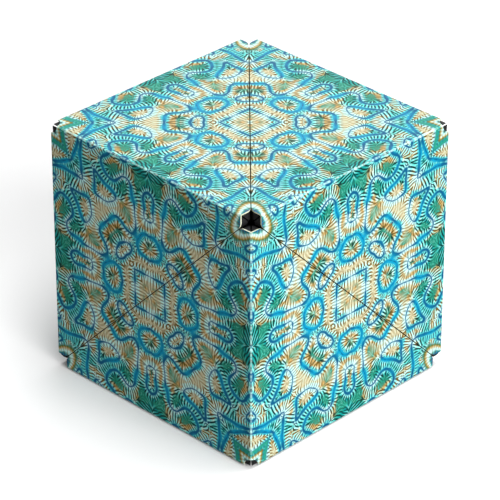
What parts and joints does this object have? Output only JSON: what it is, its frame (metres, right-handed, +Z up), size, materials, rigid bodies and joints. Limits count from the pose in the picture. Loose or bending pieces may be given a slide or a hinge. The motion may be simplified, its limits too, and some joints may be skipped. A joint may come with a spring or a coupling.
{
  "type": "folding puzzle cube",
  "caption": "Folding magnetic puzzle cube: hollow tetrahedral tiles in a closed ring, joined by printed film hinges along the cube's edges, shown closed.",
  "frame": {"origin": "middle of the bottom face of the closed cube", "axes": "+Z up; the corner where six tiles meet round a small hole, nearest the viewer, is at +X, -Y, +Z; each face is square to an axis"},
  "size_m": [0.057, 0.057, 0.057],
  "materials": {
    "black_plastic": "moulded black plastic, satin",
    "nickel_plate": "nickel-plated magnet",
    "printed_film": "printed and laminated vinyl film with a mirrored pattern of bands and fine combs in teal, blue, cream, ochre and olive",
    "printed_hinge_film": "the same printed film where it folds over a cube edge"
  },
  "bodies": {
    "bottom_back": {"bottom_back_plate": "black_plastic", "bottom_back_shell": "black_plastic", "bottom_back_magnet": "nickel_plate", "bottom_back_film": "printed_film", "hinge_back_bottom": "printed_hinge_film"},
    "right_low": {"right_low_plate": "black_plastic", "right_low_shell": "black_plastic", "right_low_magnet": "nickel_plate", "right_low_film": "printed_film", "hinge_right_bottom": "printed_hinge_film"},
    "front_low": {"front_low_plate": "black_plastic", "front_low_shell": "black_plastic", "front_low_magnet": "nickel_plate", "front_low_film": "printed_film", "hinge_front_right": "printed_hinge_film"},
    "bottom_front": {"bottom_front_plate": "black_plastic", "bottom_front_shell": "black_plastic", "bottom_front_magnet": "nickel_plate", "bottom_front_film": "printed_film", "hinge_left_bottom": "printed_hinge_film", "hinge_front_bottom": "printed_hinge_film"},
    "left_low": {"left_low_plate": "black_plastic", "left_low_shell": "black_plastic", "left_low_magnet": "nickel_plate", "left_low_film": "printed_film", "hinge_front_left": "printed_hinge_film"},
    "front_high": {"front_high_plate": "black_plastic", "front_high_shell": "black_plastic", "front_high_magnet": "nickel_plate", "front_high_film": "printed_film", "hinge_front_top": "printed_hinge_film"},
    "top_front": {"top_front_plate": "black_plastic", "top_front_shell": "black_plastic", "top_front_magnet": "nickel_plate", "top_front_film": "printed_film", "hinge_left_top": "printed_hinge_film"},
    "left_high": {"left_high_plate": "black_plastic", "left_high_shell": "black_plastic", "left_high_magnet": "nickel_plate", "left_high_film": "printed_film", "hinge_back_left": "printed_hinge_film"},
    "back_high": {"back_high_plate": "black_plastic", "back_high_shell": "black_plastic", "back_high_magnet": "nickel_plate", "back_high_film": "printed_film"},
    "top_back": {"top_back_plate": "black_plastic", "top_back_shell": "black_plastic", "top_back_magnet": "nickel_plate", "top_back_film": "printed_film", "hinge_back_top": "printed_hinge_film"},
    "right_high": {"right_high_plate": "black_plastic", "right_high_shell": "black_plastic", "right_high_magnet": "nickel_plate", "right_high_film": "printed_film", "hinge_right_top": "printed_hinge_film"},
    "back_low": {"back_low_plate": "black_plastic", "back_low_shell": "black_plastic", "back_low_magnet": "nickel_plate", "back_low_film": "printed_film", "hinge_back_right": "printed_hinge_film"}
  },
  "joints": [
    {"name": "fold_front_bottom", "type": "hinge", "parent": "bottom_front", "child": "front_low", "pos_m": [0, -0.0285, 0], "axis": [1, 0, 0], "range_deg": [0, 15], "deforming": ["hinge_front_bottom", "hinge_back_left"]},
    {"name": "fold_left_bottom", "type": "hinge", "parent": "bottom_front", "child": "left_low", "pos_m": [-0.0285, 0, 0], "axis": [0, -1, 0], "range_deg": [0, 14.5], "deforming": ["hinge_left_bottom"]},
    {"name": "fold_front_left", "type": "hinge", "parent": "left_low", "child": "front_high", "pos_m": [-0.0285, -0.0285, 0.0285], "axis": [0, 0, -1], "range_deg": [0, 15.5], "deforming": ["hinge_front_left"]},
    {"name": "fold_front_top", "type": "hinge", "parent": "front_high", "child": "top_front", "pos_m": [0, -0.0285, 0.057], "axis": [1, 0, 0], "range_deg": [0, 14.5], "deforming": ["hinge_front_top"]},
    {"name": "fold_left_top", "type": "hinge", "parent": "top_front", "child": "left_high", "pos_m": [-0.0285, 0, 0.057], "axis": [0, 1, 0], "range_deg": [0, 15.5], "deforming": ["hinge_left_top"]},
    {"name": "fold_front_right", "type": "hinge", "parent": "front_low", "child": "right_low", "pos_m": [0.0285, -0.0285, 0.0285], "axis": [0, 0, -1], "range_deg": [0, 14.5], "deforming": ["hinge_front_right"]},
    {"name": "fold_right_bottom", "type": "hinge", "parent": "right_low", "child": "bottom_back", "pos_m": [0.0285, 0, 0], "axis": [0, -1, 0], "range_deg": [0, 15.5], "deforming": ["hinge_right_bottom"]},
    {"name": "fold_back_bottom", "type": "hinge", "parent": "bottom_back", "child": "back_low", "pos_m": [0, 0.0285, 0], "axis": [-1, 0, 0], "range_deg": [0, 14.5], "deforming": ["hinge_back_bottom"]},
    {"name": "fold_back_right", "type": "hinge", "parent": "back_low", "child": "right_high", "pos_m": [0.0285, 0.0285, 0.0285], "axis": [0, 0, 1], "range_deg": [0, 15.5], "deforming": ["hinge_back_right"]},
    {"name": "fold_right_top", "type": "hinge", "parent": "right_high", "child": "top_back", "pos_m": [0.0285, 0, 0.057], "axis": [0, 1, 0], "range_deg": [0, 14.5], "deforming": ["hinge_right_top"]},
    {"name": "fold_back_top", "type": "hinge", "parent": "top_back", "child": "back_high", "pos_m": [0, 0.0285, 0.057], "axis": [1, 0, 0], "range_deg": [0, 15.5], "deforming": ["hinge_back_top"]}
  ],
  "couplings": [
    {"joint": "fold_left_bottom", "follows": "fold_front_bottom", "ratio": 0.92},
    {"joint": "fold_front_left", "follows": "fold_front_bottom", "ratio": 1},
    {"joint": "fold_front_top", "follows": "fold_front_bottom", "ratio": 0.92},
    {"joint": "fold_left_top", "follows": "fold_front_bottom", "ratio": 1},
    {"joint": "fold_front_right", "follows": "fold_front_bottom", "ratio": 0.92},
    {"joint": "fold_right_bottom", "follows": "fold_front_bottom", "ratio": 1},
    {"joint": "fold_back_bottom", "follows": "fold_front_bottom", "ratio": 0.92},
    {"joint": "fold_back_right", "follows": "fold_front_bottom", "ratio": 1},
    {"joint": "fold_right_top", "follows": "fold_front_bottom", "ratio": 0.92},
    {"joint": "fold_back_top", "follows": "fold_front_bottom", "ratio": 1}
  ]
}
